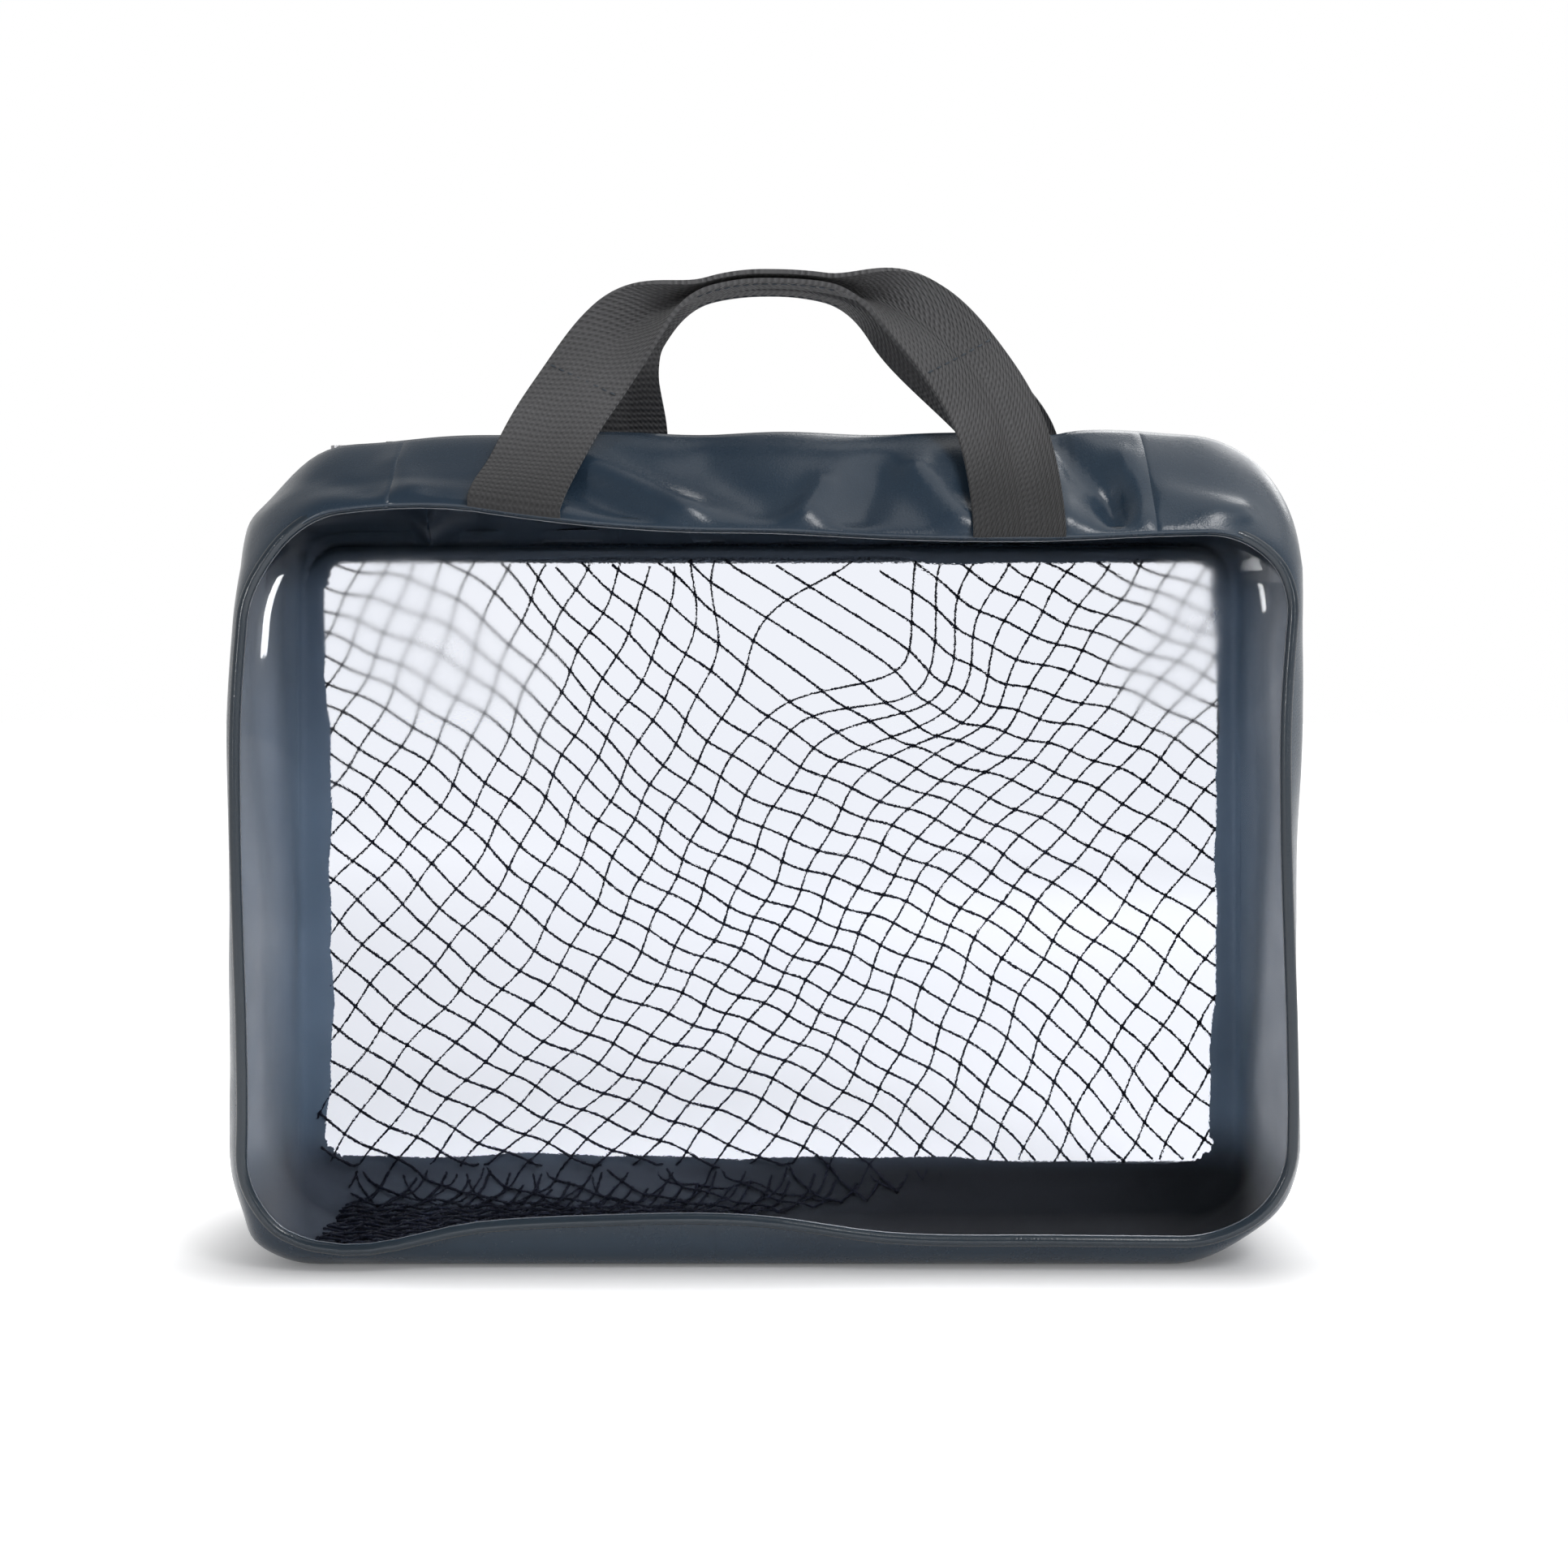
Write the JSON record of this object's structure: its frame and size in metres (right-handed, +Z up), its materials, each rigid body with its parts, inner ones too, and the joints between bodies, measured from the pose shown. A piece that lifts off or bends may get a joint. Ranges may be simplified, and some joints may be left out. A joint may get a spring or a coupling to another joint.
{
  "type": "shoe bag",
  "caption": "Soft box-shaped vinyl shoe bag: clear front window, net back, slate gusset with piped seams, domed zip top and webbing carry handles.",
  "frame": {"origin": "middle of the bottom, on the floor", "axes": "+X to the right as seen from the front, +Y to the back, +Z up"},
  "size_m": [0.3598, 0.1106, 0.3368],
  "materials": {
    "clear_vinyl": "clear, glossy",
    "slate_vinyl": "soft gloss",
    "tab_vinyl": "soft gloss",
    "piping": "glossy",
    "net": "knotted thread",
    "binding": "woven tape",
    "webbing": "ribbed webbing",
    "zip_cloth": "woven tape",
    "zip_teeth": "moulded",
    "zip_metal": "dark plated"
  },
  "bodies": {
    "shell": {"front_window": "clear_vinyl", "front_piping": "piping", "back_net": "net", "back_binding": "binding", "back_piping": "piping", "gusset_left": "slate_vinyl", "gusset_right": "slate_vinyl", "gusset_join_tape": "slate_vinyl", "zip_end_tab_left": "tab_vinyl", "zip_end_tab_right": "tab_vinyl", "zip_tail_tape": "zip_cloth", "zip_tail_chain": "zip_teeth", "zip_bottom_stop": "zip_metal"},
    "front_flap": {"top_flap_front": "slate_vinyl", "zip_tape_front": "zip_cloth", "zip_teeth_front": "zip_teeth", "zip_top_stop_front": "zip_metal"},
    "back_flap": {"top_flap_back": "slate_vinyl", "zip_tape_back": "zip_cloth", "zip_teeth_back": "zip_teeth", "zip_top_stop_back": "zip_metal"},
    "front_grip": {"handle_front": "webbing"},
    "back_grip": {"handle_back": "webbing"},
    "slider": {"zip_slider": "zip_metal"},
    "pull": {"zip_pull": "zip_metal"}
  },
  "joints": [
    {"name": "front_flap_hinge", "type": "hinge", "parent": "shell", "child": "front_flap", "pos_m": [0, -0.0525, 0.244], "axis": [1, 0, 0], "range_deg": [0, 45]},
    {"name": "back_flap_hinge", "type": "hinge", "parent": "shell", "child": "back_flap", "pos_m": [0, 0.0525, 0.244], "axis": [-1, 0, 0], "range_deg": [0, 45]},
    {"name": "front_handle_swing", "type": "hinge", "parent": "front_flap", "child": "front_grip", "pos_m": [0, -0.05469, 0.24619], "axis": [1, 0, 0], "range_deg": [0, 135]},
    {"name": "back_handle_swing", "type": "hinge", "parent": "back_flap", "child": "back_grip", "pos_m": [0, 0.05469, 0.24619], "axis": [-1, 0, 0], "range_deg": [0, 135]},
    {"name": "zip_slide", "type": "slide", "parent": "shell", "child": "slider", "axis": [-1, 0, 0], "range_m": [-0.246, 0]},
    {"name": "pull_flip", "type": "hinge", "parent": "slider", "child": "pull", "pos_m": [-0.1315, 0, 0.27611], "axis": [0, 1, 0], "range_deg": [0, 180]}
  ]
}
